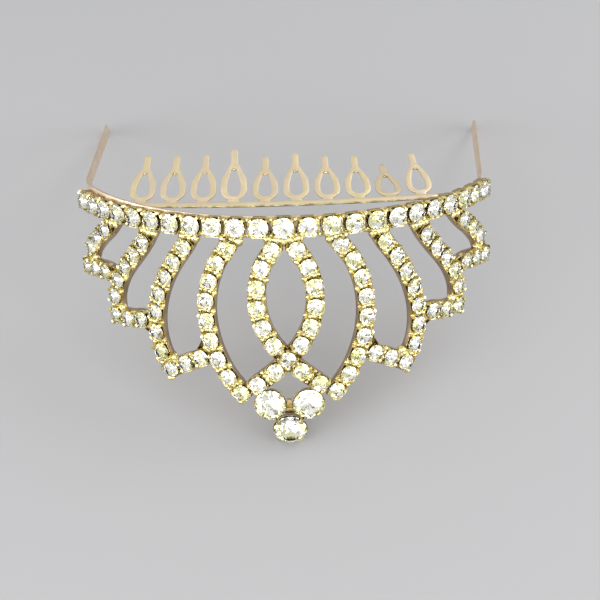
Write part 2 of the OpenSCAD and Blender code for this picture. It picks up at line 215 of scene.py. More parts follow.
def place(arc, height, heading=pi / 2, lean=0.0):
    """Matrix that puts a cup or stone, drawn along +z, on the sheet with its x along the heading."""
    radius = bpy.context.scene.tiara_band.row_radius
    return (Matrix.Translation((0, -radius, 0)) @ Matrix.Rotation(-arc / radius, 4, "Z")
            @ Matrix.Translation((0, radius, height)) @ Matrix.Rotation(lean - pi / 2, 4, "X")
            @ Matrix.Rotation(heading - pi / 2, 4, "Z"))


def strand_places(row):
    """Places (arc, height, heading) of one strand's stones, walked step by step."""
    strand = dict(zip(STRAND_COLUMNS, row))
    pitch = bpy.context.scene.tiara_stones.strand_pitch

    def heading_at(i):
        return radians(strand["heading"] + strand["turn"] * i + strand["tighten"] * i * i)

    arc, height, found = strand["arc"] * MM, strand["height"] * MM, []
    for i in range(strand["count"]):
        found.append((arc, height, (heading_at(max(0, i - 1)) + heading_at(i)) / 2))
        arc += pitch * sin(heading_at(i))
        height += pitch * cos(heading_at(i))
    return found


def link_places(row):
    """Places (arc, height, heading) of one link's stones."""
    link = dict(zip(LINK_COLUMNS, row))
    heading = radians(link["heading"])
    steps = [link["pitch"] * i for i in range(link["count"])]
    return [((link["arc"] + step * sin(heading)) * MM, (link["height"] + step * cos(heading)) * MM,
             heading) for step in steps]


def chains():
    """Places of the stones of the right half's strands, and of its links."""
    return [strand_places(row) for row in STRANDS], [link_places(row) for row in LINKS]


def mirrored(places, side):
    """The places on one side: the right half as it is for 1, its mirror image for -1."""
    return [(side * arc, height, side * heading) for arc, height, heading in places]


def both_sides(places):
    """The mirror image of the right half's places, and then the places themselves."""
    return [p for side in SIDES for p in mirrored(places, side)]


def row_places():
    """Places of the stones of the row, from left to right."""
    band = bpy.context.scene.tiara_band
    half = [band.centre_pitch + i * band.row_pitch for i in range(band.row_side)]
    return [(arc, 0.0, pi / 2) for arc in [-a for a in reversed(half)] + [0.0] + half]


def crossing_place():
    """Place of the stone where the almond's two strands cross."""
    return (0.0, bpy.context.scene.tiara_stones.crossing_height, pi / 4)


def large_place(side):
    """Matrix of the large stone on one side."""
    stones = bpy.context.scene.tiara_stones
    return place(side * stones.large_arc, stones.large_height)


def peak_place():
    """Matrix of the peak stone."""
    stones = bpy.context.scene.tiara_stones
    return place(0, stones.peak_height, pi / 2, stones.peak_lean)


def cut_radii():
    """Girdle radii of the cut stones: row, centre of the row, small, large and peak."""
    stones = bpy.context.scene.tiara_stones
    return (stones.fill * stones.row_stone_radius, stones.fill * stones.centre_radius,
            stones.fill * stones.small_radius, stones.large_fill * stones.large_radius,
            stones.fill * stones.peak_radius)


def small_places():
    """Places of all small stones, keyed by the node that holds them."""
    strands, links = chains()
    places = {"crossing_stones": [crossing_place()] + both_sides(links[0])}
    for index, found in enumerate(strands):
        if index > 1:
            found = found + links[index - 1]
        for side in SIDES:
            places[f"{STRANDS[index][0]}_stones_{SIDE_NAMES[side]}"] = mirrored(found, side)
    return places


# Rest pose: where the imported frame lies, found from three stones of its row

def middle_of(node):
    """Mean of a stone's corners, each counted once."""
    corners = {tuple(round(c / MM, 3) for c in v.co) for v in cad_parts[node].data.vertices}
    return sum((Vector(c) for c in corners), Vector()) / len(corners) * MM


def rest_pose():
    """Matrix from the worn frame to the frame at rest. The row's stones lie at height 0 of the worn frame,
    and the mean of a stone's 17 corners lies a little in front of its girdle."""
    band, stones = settings()[:2]
    sides = 8
    share = (sides * stones.crown_share - stones.pavilion_share) / (2 * sides + 1)
    left, centre, right = (
        middle_of(f"band_stone_{n:02d}") for n in (1, band.row_side + 1, 2 * band.row_side + 1))
    x = (right - left).normalized()
    y = centre - (left + right) / 2
    y = (y - y.dot(x) * x).normalized()
    origin = centre - y * share * stones.centre_radius
    turn = Matrix((x, y, x.cross(y))).transposed().to_4x4()
    return Matrix.Translation(origin) @ turn


# Making and keeping pieces

def new_object(name, data):
    """An object for a mesh, curve, lamp or camera, linked to the scene."""
    obj = bpy.data.objects.new(name, data)
    bpy.context.scene.collection.objects.link(obj)
    return obj


def mesh_of(name, points, faces, smooth_below=None):
    """A mesh from points and faces, with normals outwards, smooth where faces meet below the given angle."""
    mesh = bpy.data.meshes.new(name)
    mesh.from_pydata([tuple(p) for p in points], [], faces)
    finish_mesh(mesh, smooth_below)
    return mesh


def finish_mesh(mesh, smooth_below=None):
    """Merges doubled points, turns faces outwards and sets the shading."""
    work = bmesh.new()
    work.from_mesh(mesh)
    bmesh.ops.remove_doubles(work, verts=work.verts, dist=0.0005 * MM)
    bmesh.ops.recalc_face_normals(work, faces=work.faces)
    work.to_mesh(mesh)
    work.free()
    if smooth_below is not None:
        mesh.shade_smooth()
        mesh.set_sharp_from_angle(angle=smooth_below)
    mesh.update()


def swept(rings):
    """Points and faces of a closed solid through rings of equal length."""
    n, m = len(rings), len(rings[0])
    points = [p for ring in rings for p in ring]
    faces = [[j * m + k, (j + 1) * m + k, (j + 1) * m + (k + 1) % m, j * m + (k + 1) % m]
             for j in range(n - 1) for k in range(m)]
    faces += [list(range(m)), [(n - 1) * m + k for k in reversed(range(m))]]
    return points, faces


def joined(solids):
    """Points and faces of several solids as one."""
    points, faces = [], []
    for more_points, more_faces in solids:
        faces += [[len(points) + k for k in face] for face in more_faces]
        points += more_points
    return points, faces


def rounded_section(width, depth, radius, steps=2):
    """Points (across, through) of a rectangle with rounded corners, about its middle."""
    corners = ((1, 1), (-1, 1), (-1, -1), (1, -1))
    return [((width / 2 - radius) * cx + radius * cos(pi / 2 * (q + k / steps)),
             (depth / 2 - radius) * cy + radius * sin(pi / 2 * (q + k / steps)))
            for q, (cx, cy) in enumerate(corners) for k in range(steps + 1)]


def posed(name, solid, smooth_below, *finishes):
    """An object from a solid's points and faces in the worn frame, laid at rest, with its finishes."""
    points, faces = solid
    pose = rest_pose()
    mesh = mesh_of(name, [pose @ p for p in points], faces, smooth_below)
    for finish in finishes:
        mesh.materials.append(finish_named(finish))
    return new_object(name, mesh)


def mark_backs(mesh, is_back):
    """Marks the faces that get the back finish."""
    marks = mesh.attributes.new("back", "BOOLEAN", "FACE")
    marks.data.foreach_set("value", [is_back(face) for face in mesh.polygons])
    return mesh


def keep(obj, slot, *nodes):
    """Hands a finished piece to the frame: body, material slot and the nodes that it stands for; the slot is
    not used.
    """
    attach(obj, BODY)
    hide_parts(*nodes)


# Nodes, for the tree that sets pieces on places and for the finishes

def set_inputs(tree, node, inputs):
    """Gives each input, by name or number, its value, or joins it to the output that stands there."""
    for name, value in inputs.items():
        if isinstance(value, bpy.types.NodeSocket):
            tree.links.new(value, node.inputs[name])
        else:
            node.inputs[name].default_value = value


def outputs_of(tree, kind, inputs=None, **choices):
    """The outputs of a new node, with its choices made and its inputs given."""
    node = tree.nodes.new(kind)
    for name, value in choices.items():
        setattr(node, name, value)
    set_inputs(tree, node, inputs or {})
    return node.outputs


# Inputs of the tree: name and kind of socket
TREE_INPUTS = {
    "Places": "Geometry", "Piece": "Object", "Turn": "Float", "Tilt": "Float", "Size spread": "Float",
    "Seed": "Int", "Finish": "Material", "Back finish": "Material",
}


def setting_tree():
    """Tree that puts a copy of a piece on every point, turned as the point's facing says and then a little at
    random, with one finish for all faces and another for those marked as backs."""
    tree = bpy.data.node_groups.new("Set on places", "GeometryNodeTree")
    for name, kind in TREE_INPUTS.items():
        tree.interface.new_socket(name, in_out="INPUT", socket_type="NodeSocket" + kind)
    tree.interface.new_socket("Pieces", in_out="OUTPUT", socket_type="NodeSocketGeometry")
    given = outputs_of(tree, "NodeGroupInput")

    facing = outputs_of(tree, "GeometryNodeInputNamedAttribute", {"Name": "facing"}, data_type="FLOAT_VECTOR")
    turned = outputs_of(tree, "FunctionNodeEulerToRotation", {"Euler": facing["Attribute"]})
    reach = outputs_of(tree, "ShaderNodeCombineXYZ", {
        "X": given["Tilt"], "Y": given["Tilt"], "Z": given["Turn"]})
    back = outputs_of(tree, "ShaderNodeVectorMath", {0: reach["Vector"], "Scale": -1}, operation="SCALE")
    chance = outputs_of(tree, "FunctionNodeRandomValue", {
        "Min": back["Vector"], "Max": reach["Vector"], "Seed": given["Seed"]}, data_type="FLOAT_VECTOR")
    wobble = outputs_of(tree, "FunctionNodeEulerToRotation", {"Euler": chance["Value"]})
    both = outputs_of(tree, "FunctionNodeRotateRotation", {
        "Rotation": turned["Rotation"], "Rotate By": wobble["Rotation"]}, rotation_space="LOCAL")
    smallest = outputs_of(tree, "ShaderNodeMath", {0: 1, 1: given["Size spread"]}, operation="SUBTRACT")
    scale = outputs_of(tree, "FunctionNodeRandomValue", {
        2: smallest[0], 3: 1, "Seed": given["Seed"]}, data_type="FLOAT")

    piece = outputs_of(tree, "GeometryNodeObjectInfo", {"Object": given["Piece"]})
    copies = outputs_of(tree, "GeometryNodeInstanceOnPoints", {
        "Points": given["Places"], "Instance": piece["Geometry"], "Rotation": both["Rotation"],
        "Scale": scale[1]})
    real = outputs_of(tree, "GeometryNodeRealizeInstances", {"Geometry": copies["Instances"]})
    front = outputs_of(tree, "GeometryNodeSetMaterial", {
        "Geometry": real["Geometry"], "Material": given["Finish"]})
    marked = outputs_of(tree, "GeometryNodeInputNamedAttribute", {"Name": "back"}, data_type="BOOLEAN")
    rear = outputs_of(tree, "GeometryNodeSetMaterial", {
        "Geometry": front["Geometry"], "Selection": marked["Attribute"], "Material": given["Back finish"]})
    outputs_of(tree, "NodeGroupOutput", {"Pieces": rear["Geometry"]})
    return tree


def set_on_places(name, pattern, matrices, finish, back_finish, seed, turn=0.0, tilt=0.0, spread=0.0):
    """One plain mesh object with a copy of the pattern mesh at each matrix, made by the tree."""
    tree = bpy.data.node_groups.get("Set on places") or setting_tree()
    points = bpy.data.meshes.new(name + "_places")
    points.from_pydata([m.to_translation()[:] for m in matrices], [], [])
    facing = points.attributes.new("facing", "FLOAT_VECTOR", "POINT")
    facing.data.foreach_set("vector", [a for m in matrices for a in m.to_euler("XYZ")])
    carrier = new_object(name + "_carrier", points)
    source = new_object(name + "_pattern", pattern)
    modifier = carrier.modifiers.new("Set on places", "NODES")
    modifier.node_group = tree
    values = {"Piece": source, "Turn": turn, "Tilt": tilt, "Size spread": spread, "Seed": seed,
              "Finish": finish_named(finish), "Back finish": finish_named(back_finish)}
    for item in tree.interface.items_tree:
        if item.in_out == "INPUT" and item.name in values:
            modifier[item.identifier] = values[item.name]
    mesh = evaluated_mesh(name, carrier)
    carrier.modifiers.remove(modifier)
    bpy.data.objects.remove(carrier)
    bpy.data.objects.remove(source)
    if not mesh.polygons:
        raise RuntimeError(f"{name} came out empty")
    return new_object(name, mesh)


def evaluated_mesh(name, obj):
    """A plain mesh of what an object's modifiers or curve give."""
    mesh = bpy.data.meshes.new_from_object(obj.evaluated_get(bpy.context.evaluated_depsgraph_get()))
    mesh.name = name
    return mesh


# Finishes. Noise is spread between two limits, and its scale is the number of features in a metre.

# Platings: two colours, roughness, scale of the patches, and depth in mm and scale of the ripples
PLATING_COLUMNS = ("colour", "patch_colour", "roughness", "patch_scale", "ripple", "ripple_scale")
PLATINGS = {
    "cup gold": ("gold", "olive_patch_and_shade_gold", 0.2, 900, 0.03, 1400),
    # Hollow finish: darker gold as painted shade on the cups' outer walls, the channel floors, the comb
    # strip's front side and the web
    "hollow painted shade gold": ("olive_patch_and_shade_gold", "brown_patch_and_shade_gold", 0.34, 900, 0.03, 1400),
    # Ribbon finish: a darker gold as painted shade on the channels' sides
    "ribbon painted shade gold": ("ribbon_shade_gold", "brown_patch_and_shade_gold", 0.42, 260, 0.02, 1400),
    "champagne plating": ("pale_gold", "rose_gold", 0.44, 120, 0.01, 3000),
    "comb plating": ("comb_gold", "pale_gold", 0.44, 160, 0.01, 3000),
    "comb edge gold": ("gold", "brown_patch_and_shade_gold", 0.2, 1100, 0.05, 900),
    "solder": ("solder", "olive_patch_and_shade_gold", 0.2, 1300, 0.06, 1000),
}


def new_finish(name):
    """A new material, its tree and its shader."""
    material = bpy.data.materials.new(name)
    material.use_nodes = True
    return material, material.node_tree, material.node_tree.nodes["Principled BSDF"]


def grain(tree, scale, detail):
    """Noise on the piece's own coordinates."""
    own = outputs_of(tree, "ShaderNodeTexCoord")["Object"]
    return outputs_of(tree, "ShaderNodeTexNoise", {"Vector": own, "Scale": scale, "Detail": detail})["Fac"]


def between(tree, value, limits, low, high):
    """A value inside its limits, spread over low to high."""
    spread = outputs_of(tree, "ShaderNodeMapRange", {
        "Value": value, "From Min": limits[0], "From Max": limits[1], "To Min": low, "To Max": high})
    return spread["Result"]


def mixed(tree, share, colour, other, blend="MIX"):
    """A colour with a share of another one."""
    mix = outputs_of(tree, "ShaderNodeMix", {0: share, 6: colour, 7: other},
                     data_type="RGBA", blend_type=blend)
    return mix[2]


def opaque(name):
    """A colour of the finish settings with full alpha."""
    return (*getattr(bpy.context.scene.tiara_finish, name), 1)


def plated_metal(name, colour, patch_colour, roughness, patch_scale, ripple, ripple_scale):
    """Plated metal: two golds in soft patches, roughness that varies, fine ripples in the plating, and edges
    worn a little paler."""
    material, tree, shader = new_finish(name)
    patch_limits, edge_limits, smear_limits = (0.38, 0.66), (0.5, 0.62), (0.3, 0.7)
    least, most = roughness * 0.65, roughness * 1.35
    patches = between(tree, grain(tree, patch_scale, 4), patch_limits, 0, 1)
    golds = mixed(tree, patches, opaque(colour), opaque(patch_colour))
    paler = 0.35
    worn = between(tree, outputs_of(tree, "ShaderNodeNewGeometry")["Pointiness"], edge_limits, 0, paler)
    ripples = outputs_of(tree, "ShaderNodeBump", {
        "Strength": 1, "Distance": ripple * MM, "Height": grain(tree, ripple_scale, 3)})
    set_inputs(tree, shader, {
        "Base Color": mixed(tree, worn, golds, opaque(colour), "SCREEN"), "Metallic": 1,
        "Roughness": between(tree, grain(tree, ripple_scale * 0.4, 6), smear_limits, least, most),
        "Normal": ripples["Normal"]})
    return material


def stone_glass(name):
    """Clear cut glass with faint polishing marks on its facets."""
    material, tree, shader = new_finish(name)
    mark_limits, refraction = (0.45, 0.75), 1.56
    set_inputs(tree, shader, {
        "Base Color": opaque("glass"), "Transmission Weight": 1, "IOR": refraction,
        "Roughness": between(tree, grain(tree, 900, 5), mark_limits, 0, 0.05)})
    return material


def stone_foil(name):
    """Mirror foil behind the stones, with faint dull and yellow-green patches."""
    material, tree, shader = new_finish(name)
    dull_limits, patch_limits = (0.5, 0.8), (0.52, 0.6)
    patches = between(tree, grain(tree, 620, 2), patch_limits, 0, 1)
    set_inputs(tree, shader, {
        "Base Color": mixed(tree, patches, opaque("foil"), opaque("foil_patch")), "Metallic": 1,
        "Roughness": between(tree, grain(tree, 1500, 3), dull_limits, 0.01, 0.12)})
    return material


def finish_named(name):
    """A finish by name, made once."""
    found = bpy.data.materials.get(name)
    if found:
        return found
    if name in PLATINGS:
        return plated_metal(name, **dict(zip(PLATING_COLUMNS, PLATINGS[name])))
    return {"stone glass": stone_glass, "stone foil": stone_foil}[name](name)


# Patterns: a stone and a cup, drawn along +z with the girdle at z = 0

def stone_pattern(radius):
    """Brilliant-cut stone: table, eight kites and eight stars, sixteen halves above and below the girdle and
    eight mains that meet in the tip. Faces below the girdle are marked as backs, for the foil."""
    stones = bpy.context.scene.tiara_stones
    kite_turn, girdle_half = pi / 8, 0.025
    star_share, lower_share = 0.79, 0.3
    slope = stones.crown_share / (1 - stones.table_share)
    star_height = slope * (1 - star_share * cos(kite_turn)) + girdle_half
    lower_height = -stones.pavilion_share * (1 - lower_share * cos(kite_turn))

    def ring(share, height, count, first):
        step = 2 * pi / count
        return [Vector((share * cos(first + step * k), share * sin(first + step * k), height)) * radius
                for k in range(count)]

    points = ring(stones.table_share, stones.crown_share + girdle_half, 8, 0)
    points += ring(star_share, star_height, 8, kite_turn)
    points += ring(1, girdle_half, 16, 0) + ring(1, -girdle_half, 16, 0)
    points += ring(lower_share, lower_height, 8, kite_turn)
    points.append(Vector((0, 0, -stones.pavilion_share * radius)))
    # first corners of the table, the stars, the girdle's upper and lower edge and the halves, and the tip
    table, star, upper, lower, half, tip = 0, 8, 16, 32, 48, 56
    faces = [[table + k for k in range(8)]]
    for k in range(8):
        after, before, near, edge, far = (k + 1) % 8, (k - 1) % 8, 2 * k, 2 * k + 1, (2 * k + 2) % 16
        faces += [[table + k, star + before, upper + near, star + k], [table + k, star + k, table + after],
                  [star + k, upper + near, upper + edge], [star + k, upper + edge, upper + far]]
    faces += [[upper + k, upper + (k + 1) % 16, lower + (k + 1) % 16, lower + k] for k in range(16)]
    for k in range(8):
        before, near, edge, far = (k - 1) % 8, 2 * k, 2 * k + 1, (2 * k + 2) % 16
        faces += [[tip, half + before, lower + near, half + k], [half + k, lower + near, lower + edge],
                  [half + k, lower + edge, lower + far]]
    return mark_backs(mesh_of("stone", points, faces), lambda face: face.center.z < -girdle_half * radius)


def claw(corner, tip_radius, width, thickness, turn):
    """Points and faces of a claw that rises at a cup's corner and bends over the crown."""
    reach, inside_share = corner - tip_radius, 0.8
    #          inwards       height   width  thickness
    course = ((0.0,          -1.00,   0.90,  1.0),
              (0.0,           0.08,   1.00,  1.0),
              (reach * 0.20,  0.36,   1.00,  1.1),
              (reach * 0.58,  0.48,   0.86,  1.1),
              (reach * 0.90,  0.44,   0.64,  0.9),
              (reach,         0.36,   0.34,  0.5))
    rings = []
    for i, (inwards, height, wide, thick) in enumerate(course):
        before, after = course[max(0, i - 1)], course[min(len(course) - 1, i + 1)]
        along = Vector((before[0] - after[0], (after[1] - before[1]) * MM)).normalized()
        across = Vector((along[1], -along[0])) * thickness / 2 * thick
        half = width / 2 * wide
        middle = Vector((corner - inwards, height * MM))
        section = [(middle + across, -half), (middle + across, half), (middle - across, half * inside_share),
                   (middle - across, -half * inside_share)]
        rings.append([Matrix.Rotation(turn, 3, "Z") @ Vector((p[0], w, p[1])) for p, w in section])
    return swept(rings)


def cup_pattern(radius, side_points, claw_width, taper):
    """Cup with four claws: square with cut corners when a side has one point, round when it has more. The
    faces of its outer wall are marked as backs, for the darker gold that is painted shade between the cups."""
    wall = bpy.context.scene.tiara_stones.cup_wall
    seat = radius * bpy.context.scene.tiara_stones.pavilion_share
    flat, depth = radius + 0.02 * MM, seat + 0.7 * MM
    outside = flat + wall
    corners = [pi / 4 + quarter * pi / 2 for quarter in range(4)]
    cut = radians(13)
    step = (pi / 2 - 2 * cut) / (side_points + 1)
    angles = []
    for corner in corners:
        angles += [corner - cut, corner + cut] + [corner + cut + step * (j + 1) for j in range(side_points)]

    def share(a):
        """Distance of the outline from the cup's axis at an angle, where the middle of a side has 1."""
        return 1 / cos((a + pi / 4) % (pi / 2) - pi / 4 if side_points == 1 else step / 2)

    #           width                        height
    profile = ((outside * taper,             -depth),
               (outside * (taper + 0.1),     -depth + 0.18 * MM),
               (outside * (taper + 2) / 3,   -0.9 * MM),
               (outside,                     -0.38 * MM),
               (flat + wall * 0.75,          -0.28 * MM),
               (flat + wall * 0.15,          -0.3 * MM),
               (flat * 0.5,                  -seat * 0.5 - 0.2 * MM),
               (flat * 0.06,                 -seat - 0.12 * MM))
    outer_faces = 3 * len(angles)
    walls = swept([[Vector((width * share(a) * cos(a), width * share(a) * sin(a), height)) for a in angles]
                   for width, height in profile])
    claw_place = (flat + wall / 2) * max(share(a) for a in angles) * cos(cut)
    claws = [claw(claw_place, radius * 0.8, claw_width, 0.3 * MM, corner) for corner in corners]
    cup = mesh_of("cup", *joined([walls] + claws), radians(38))
    return mark_backs(cup, lambda face: face.index < outer_faces)


def bead_pattern(radius):
    """Lump of solder: a squashed ball with an uneven surface."""
    rows, columns = 5, 8
    bottom, top, narrow, squash = -0.7, 0.62, 0.85, 0.66
    points = [Vector((0, 0, bottom)), Vector((0, 0, top))]
    for i in range(1, rows):
        a = pi * i / rows
        for k in range(columns):
            b = 2 * pi * k / columns
            swell = 1 + 0.14 * sin(3 * b + 2 * i) + 0.08 * cos(2 * b - i)
            points.append(Vector((sin(a) * cos(b) * swell, sin(a) * sin(b) * swell * narrow,
                                  -cos(a) * squash)))
    faces = []
    for k in range(columns):
        after = (k + 1) % columns
        faces.append([0, 2 + after, 2 + k])
        faces.append([1, 2 + (rows - 2) * columns + k, 2 + (rows - 2) * columns + after])
        faces += [[2 + i * columns + k, 2 + i * columns + after, 2 + (i + 1) * columns + after,
                   2 + (i + 1) * columns + k] for i in range(rows - 2)]
    return mesh_of("bead", [p * radius for p in points], faces, pi)


# Pieces

def strip_sizes(side):
    """Radius of the middle of the head strip, an arm's angle from the line across the head, and the lengths
    of the arc and of the bend, on one side."""
    band = bpy.context.scene.tiara_band
    radius = band.row_radius - band.strip_front - band.strip_sheet / 2
    arm_turn = band.arm_angle - side * band.arm_skew
    return radius, arm_turn, radius * band.arc_end, band.bend_radius * (arm_turn - band.arc_end)


def strip_course(side):
    """Lengths along the head strip from its middle to an arm's tip, where it has a ring."""
    band = bpy.context.scene.tiara_band
    arc, bend = strip_sizes(side)[2:]
    tip = band.tip_radius
    arc_steps, bend_steps, arm_steps = 28, 12, 16
    return ([arc * i / arc_steps for i in range(arc_steps)]
            + [arc + bend * i / bend_steps for i in range(bend_steps)]
            + [arc + bend + (band.arm_length - tip) * i / arm_steps for i in range(arm_steps + 1)]
            + [arc + bend + band.arm_length - tip + tip * sin(radians(a)) for a in range(15, 91, 15)])


def strip_ring(length, side, section):
    """Ring of the head strip at a length from its middle, on one side."""
    band = bpy.context.scene.tiara_band
    radius, arm_turn, arc, bend = strip_sizes(side)
    end = arc + bend + band.arm_length
    a = length / radius if length < arc else min(arm_turn, band.arc_end + (length - arc) / band.bend_radius)
    on_arc = min(a, band.arc_end)
    p = Vector((radius * sin(on_arc) + band.bend_radius * (sin(a) - sin(on_arc)),
                radius * cos(on_arc) - band.row_radius + band.bend_radius * (cos(a) - cos(on_arc))))
    p += max(0.0, length - (arc + bend)) * Vector((cos(a), -sin(a)))
    along = max(0.0, (length - arc) / (end - arc))
    early = 0.6    # how far the lean runs ahead of an even one
    lean = band.arm_lean * (1 + early - early * along) * along
    sunk = min(1.0, (length / arc) ** 2)
    level = band.strip_top - band.strip_width / 2 + (side * band.arm_twist - band.arm_drop) * sunk
    past = min(1.0, max(0.0, length - end + band.tip_radius) / band.tip_radius)
    share = 1 - (1 - sqrt(1 - past * past)) * band.tip_radius / (band.strip_width / 2)
    out, up = Vector((side * sin(a), cos(a), 0)), Vector((0, 0, 1))
    wide, thick = up * cos(lean) - out * sin(lean), out * cos(lean) + up * sin(lean)
    centre = Vector((side * p[0], p[1], level))
    return [centre + wide * w * share + thick * t for w, t in section]


class TIARA_OT_head_strip(bpy.types.Operator):
    """Make the bent head strip with its two arms, its long edges rounded as on rolled wire"""
    bl_idname = "tiara.head_strip"
    bl_label = "Head strip and arms"

    def execute(self, context):
        band, rounding = context.scene.tiara_band, 0.2 * MM
        section = rounded_section(band.strip_width, band.strip_sheet, rounding)
        rings = [strip_ring(length, 1, section) for length in reversed(strip_course(1)[1:])]
        rings += [strip_ring(length, -1, section) for length in strip_course(-1)]
        keep(posed("head_strip", swept(rings), radians(40), "champagne plating"), "gold", "frame")
        return {"FINISHED"}


class TIARA_OT_cups(bpy.types.Operator):
    """Set a claw cup at every stone: square along the row and the strands, round at the three large stones"""
    bl_idname = "tiara.cups"
    bl_label = "Cups"

    def execute(self, context):
        pose = rest_pose()
        row = [place(*p) for p in row_places()]
        middle = row.pop(len(row) // 2)
        small = [place(*p) for places in small_places().values() for p in places]
        large = [large_place(side) for side in SIDES]
        row_radius, centre_radius, small_radius, large_radius, peak_radius = cut_radii()
        #    name           radius         points  places           claw   taper  tilt   seed
        groups = (
            ("row_cups",    row_radius,    1,      row,             0.52,  0.78,  0.022, 3),
            ("centre_cup",  centre_radius, 1,      [middle],        0.70,  0.78,  0.0,   4),
            ("strand_cups", small_radius,  1,      small,           0.62,  0.78,  0.022, 5),
            ("large_cups",  large_radius,  5,      large,           0.90,  0.60,  0.0,   6),
            ("peak_cup",    peak_radius,   5,      [peak_place()],  0.90,  0.40,  0.0,   7),
        )
        for name, radius, side_points, places, claw_width, taper, tilt, seed in groups:
            cup = cup_pattern(radius, side_points, claw_width * MM, taper)
            # The outer walls take the darker back finish: painted shade in the slits between the cups
            cups = set_on_places(name, cup, [pose @ m for m in places], "cup gold", "hollow painted shade gold",
                                 turn=tilt, tilt=tilt, seed=seed)
            keep(cups, "gold", "frame")
        return {"FINISHED"}


class TIARA_OT_stones(bpy.types.Operator):
    """Cut the stones and set them in their cups, one piece for each stone or string of stones"""
    bl_idname = "tiara.stones"
    bl_label = "Cut stones"

    def execute(self, context):
        pose, row = rest_pose(), row_places()
        row_radius, centre_radius, small_radius, large_radius, peak_radius = cut_radii()
        radii = [row_radius] * len(row)
        radii[len(row) // 2] = centre_radius
        groups = [(f"band_stone_{i + 1:02d}", radii[i], [place(*p)]) for i, p in enumerate(row)]
        groups += [(node, small_radius, [place(*p) for p in places])
                   for node, places in small_places().items()]
        groups += [(f"large_stone_{SIDE_NAMES[side]}", large_radius, [large_place(side)]) for side in SIDES]
        groups.append(("peak_stone", peak_radius, [peak_place()]))
        for seed, (node, radius, places) in enumerate(groups):
            piece = set_on_places("cut_" + node, stone_pattern(radius), [pose @ m for m in places],
                                  "stone glass", "stone foil", turn=pi, tilt=0.035, seed=seed)
            keep(piece, "crystal", node)
        return {"FINISHED"}


def smooth_path(path):
    """Points of a smooth curve through the path's (arc, height) points."""
    steps = 4
    points = [Vector(p[:2]) for p in path]
    points = [2 * points[0] - points[1]] + points + [2 * points[-1] - points[-2]]
    found = []
    for i in range(1, len(points) - 2):
        a, b, c, d = points[i - 1:i + 3]
        for k in range(steps):
            t = k / steps
            found.append(0.5 * (2 * b + (c - a) * t + (2 * a - 5 * b + 4 * c - d) * t * t
                                + (3 * b - a - 3 * c + d) * t ** 3))
    return found + [points[-2]]


def ribbon(path, section):
    """Points and faces of a channel that holds the cups along a path on the sheet."""
    course = smooth_path(path)
    rings = []
    for i, p in enumerate(course):
        along = (course[min(len(course) - 1, i + 1)] - course[max(0, i - 1)]).normalized()
        across = Vector((along[1], -along[0]))
        rings.append([on_sheet(p[0] + across[0] * w, p[1] + across[1] * w, n) for w, n in section])
    return swept(rings)


def foot_arc(places, level):
    """Arc of a strand at a level below its first stone, where it runs at a share of its slope there."""
    arc, height, heading = places[0]
    slope_share = 0.75
    return arc - (height - level) * tan(heading) * slope_share


def ribbon_paths():
    """Paths of the right half's ribbons: strands from inside the row, and links from strand to strand."""
    strands, links = chains()
    start = 1.2 * MM
    paths = [[(foot_arc(places, start), start)] + places for places in strands]
    paths[0] += [crossing_place()] + mirrored(links[0], -1)
    for strand, link, (target, stone) in zip(strands[2:], links[1:], LINK_ENDS):
        paths.append([strand[-1]] + link + [strands[target][stone]])
    return paths


def ribbon_section():
    """Section (across, depth) of a ribbon, a channel open at the front, and the finish of each of its sides:
    0 on the outside, darker gold as painted shade, 1 on the rims and 2 in the hollow, darker still as painted
    shade."""
    outside, inside, front, base, back = (v * MM for v in (1.72, 1.58, 0.46, 1.46, 2.0))
    rim, lip, edge = 0.04 * MM, 0.05 * MM, 0.2 * MM
    half = [(inside, -base), (inside, -front), (inside + rim, -front + lip), (outside, -front - lip),
            (outside, -back + edge), (outside - edge, -back)]
    finishes = [1, 1, 1, 0, 0, 0, 0, 0, 1, 1, 1, 2]
    return half + [(-across, depth) for across, depth in reversed(half)], finishes


class TIARA_OT_ribbons(bpy.types.Operator):
    """Lay the ribbons that carry the cups of the strands and links"""
    bl_idname = "tiara.ribbons"
    bl_label = "Ribbons"

    def execute(self, context):
        section, finish_of_side = ribbon_section()
        solids = [ribbon([(side * p[0], p[1]) for p in path], section) for path in ribbon_paths()
                  for side in SIDES]
        finishes, ends = [], [0, 0]
        for points, faces in solids:
            finishes += finish_of_side * (len(faces) // len(section)) + ends
        # The channels' sides and hollows take darker golds as painted shade; the rims keep the cups' lit gold
        ribbons = posed("strand_ribbons", joined(solids), radians(50),
                        "ribbon painted shade gold", "cup gold", "hollow painted shade gold")
        if len(ribbons.data.polygons) != len(finishes):
            raise RuntimeError("faces of the ribbons were lost")
        ribbons.data.polygons.foreach_set("material_index", finishes)
        keep(ribbons, "gold", "frame")
        return {"FINISHED"}


def beside(place_a, place_b, across=0.0):
    """Place half way between two stones and a distance to one side of the line through them."""
    heading = (place_a[2] + place_b[2]) / 2
    return ((place_a[0] + place_b[0]) / 2 + across * cos(heading),
            (place_a[1] + place_b[1]) / 2 - across * sin(heading), heading)


